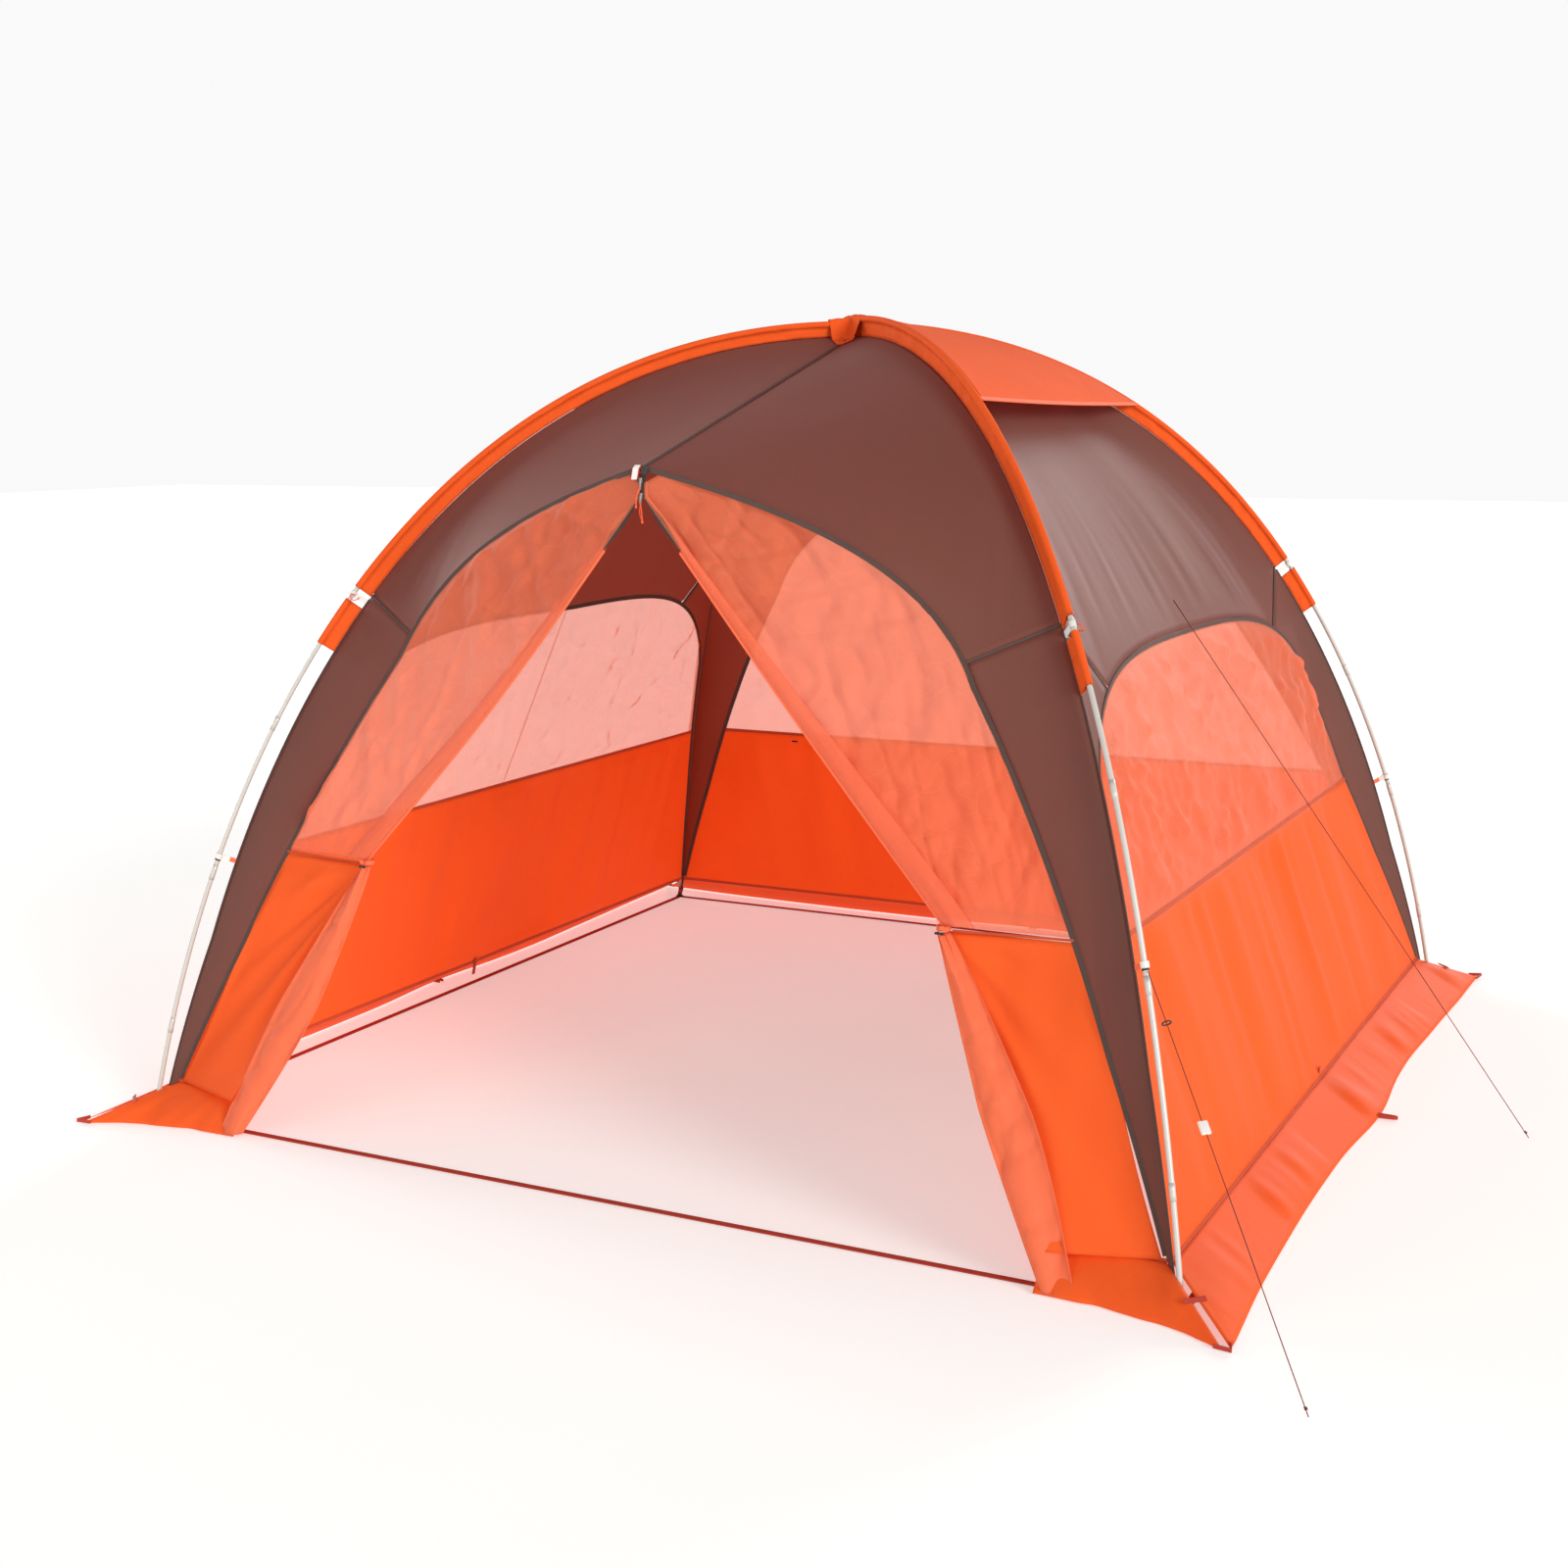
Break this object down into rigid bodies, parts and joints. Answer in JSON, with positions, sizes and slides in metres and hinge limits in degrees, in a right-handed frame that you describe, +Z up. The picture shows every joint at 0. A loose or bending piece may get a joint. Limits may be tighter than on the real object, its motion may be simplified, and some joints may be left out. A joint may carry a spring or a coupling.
{
  "type": "frame tent",
  "caption": "Square walk-in dome shelter: two crossed arch poles in fabric sleeves, mesh windows above solid walls, a roof vent cover, and a zipped front door tied open.",
  "frame": {"origin": "middle of the square plan, on the ground", "axes": "+Z up; -Y out of the open front door; +X to the right as seen from in front of that door"},
  "size_m": [3.6769, 3.391, 2.1669],
  "materials": {
    "pole": "pale anodised tube",
    "black_plastic": "moulded",
    "white_plastic": "moulded",
    "orange_ripstop": "coated ripstop polyester",
    "brown_cloth": "coated woven polyester",
    "orange_cloth": "thin woven polyester",
    "orange_mesh": "fine insect netting",
    "webbing": "woven tape",
    "cord": "braided line",
    "zip_metal": "dark plated"
  },
  "bodies": {
    "root": {"arch_pole_upper": "pole", "arch_pole_lower": "pole", "pole_tip_front_right": "black_plastic", "pole_tip_back_left": "black_plastic", "pole_tip_front_left": "black_plastic", "pole_tip_back_right": "black_plastic", "sleeve_front_right": "orange_ripstop", "short_sleeve_front_right": "orange_ripstop", "sleeve_back_left": "orange_ripstop", "short_sleeve_back_left": "orange_ripstop", "sleeve_front_left": "orange_ripstop", "short_sleeve_front_left": "orange_ripstop", "sleeve_back_right": "orange_ripstop", "short_sleeve_back_right": "orange_ripstop", "front_roof_left": "brown_cloth", "front_roof_right": "brown_cloth", "back_roof_left": "brown_cloth", "back_roof_right": "brown_cloth", "side_roof_left": "brown_cloth", "side_roof_right": "brown_cloth", "vent_cover_left": "orange_ripstop", "vent_cover_right": "orange_ripstop", "leg_panel_front_right": "brown_cloth", "leg_panel_back_left": "brown_cloth", "leg_panel_front_left": "brown_cloth", "leg_panel_back_right": "brown_cloth", "mesh_wall_left": "orange_mesh", "lower_wall_left": "orange_cloth", "mesh_wall_right": "orange_mesh", "lower_wall_right": "orange_cloth", "mesh_wall_back": "orange_mesh", "lower_wall_back": "orange_cloth", "skirt_left": "orange_cloth", "skirt_right": "orange_cloth", "skirt_back": "orange_cloth", "skirt_front_left": "orange_cloth", "skirt_front_right": "orange_cloth", "perimeter_webbing": "webbing", "door_mesh_left": "orange_mesh", "door_panel_left": "orange_cloth", "door_roll_left": "orange_cloth", "door_mesh_right": "orange_mesh", "door_panel_right": "orange_cloth", "door_roll_right": "orange_cloth", "guyline_right": "cord", "guyline_left": "cord", "guyline_front_right": "cord"},
    "slider_upper": {"zip_slider_upper": "zip_metal"},
    "slider_lower": {"zip_slider_lower": "zip_metal"},
    "pull_upper": {"zip_pull_upper": "zip_metal"},
    "pull_lower": {"zip_pull_lower": "zip_metal"},
    "toggle_left": {"door_toggle_left": "black_plastic"},
    "toggle_right": {"door_toggle_right": "black_plastic"},
    "toggle_back": {"door_toggle_back": "black_plastic"},
    "clip_front_right": {"leg_clip_front_right": "white_plastic"},
    "clip_front_left": {"leg_clip_front_left": "white_plastic"},
    "clip_back_right": {"leg_clip_back_right": "white_plastic"},
    "clip_back_left": {"leg_clip_back_left": "white_plastic"},
    "ring": {"line_ring": "black_plastic"},
    "lock": {"line_lock": "white_plastic"}
  },
  "joints": [
    {"name": "slider_upper_travel", "type": "slide", "parent": "root", "child": "slider_upper", "axis": [0, 0, 1], "range_m": [0, 0.015]},
    {"name": "slider_lower_travel", "type": "slide", "parent": "root", "child": "slider_lower", "axis": [0, 0, 1], "range_m": [0, 0.012]},
    {"name": "pull_upper_swing", "type": "hinge", "parent": "slider_upper", "child": "pull_upper", "pos_m": [0, -1.2106, 1.737], "axis": [1, 0, 0], "range_deg": [-100, 0]},
    {"name": "pull_lower_swing", "type": "hinge", "parent": "slider_lower", "child": "pull_lower", "pos_m": [0, -1.2106, 1.701], "axis": [1, 0, 0], "range_deg": [-100, 0]},
    {"name": "toggle_left_swing", "type": "hinge", "parent": "root", "child": "toggle_left", "pos_m": [-0.82, -1.2965, 0.74], "axis": [1, 0, 0], "range_deg": [-60, 0]},
    {"name": "toggle_right_swing", "type": "hinge", "parent": "root", "child": "toggle_right", "pos_m": [0.82, -1.2965, 0.74], "axis": [1, 0, 0], "range_deg": [-60, 0]},
    {"name": "toggle_back_swing", "type": "hinge", "parent": "root", "child": "toggle_back", "pos_m": [-0.82, 1.2255, 0.712], "axis": [1, 0, 0], "range_deg": [-60, 0]},
    {"name": "clip_front_right_turn", "type": "hinge", "parent": "root", "child": "clip_front_right", "pos_m": [1.30489, -1.30489, 0.714], "axis": [-0.2586, 0.2586, 0.9307], "range_deg": [-20, 20]},
    {"name": "clip_front_left_turn", "type": "hinge", "parent": "root", "child": "clip_front_left", "pos_m": [-1.30363, -1.30363, 0.714], "axis": [0.2609, 0.2609, 0.9294], "range_deg": [-20, 20]},
    {"name": "clip_back_right_turn", "type": "hinge", "parent": "root", "child": "clip_back_right", "pos_m": [1.30363, 1.30363, 0.714], "axis": [-0.2609, -0.2609, 0.9294], "range_deg": [-20, 20]},
    {"name": "clip_back_left_turn", "type": "hinge", "parent": "root", "child": "clip_back_left", "pos_m": [-1.30489, 1.30489, 0.714], "axis": [0.2586, -0.2586, 0.9307], "range_deg": [-20, 20]},
    {"name": "ring_turn", "type": "hinge", "parent": "root", "child": "ring", "pos_m": [1.37846, -1.37846, 0.61269], "axis": [0.4934, -0.4934, -0.7164], "range_deg": [-90, 90]},
    {"name": "lock_travel", "type": "slide", "parent": "root", "child": "lock", "axis": [0.4934, -0.4934, -0.7164], "range_m": [-0.18, 0.35]}
  ]
}
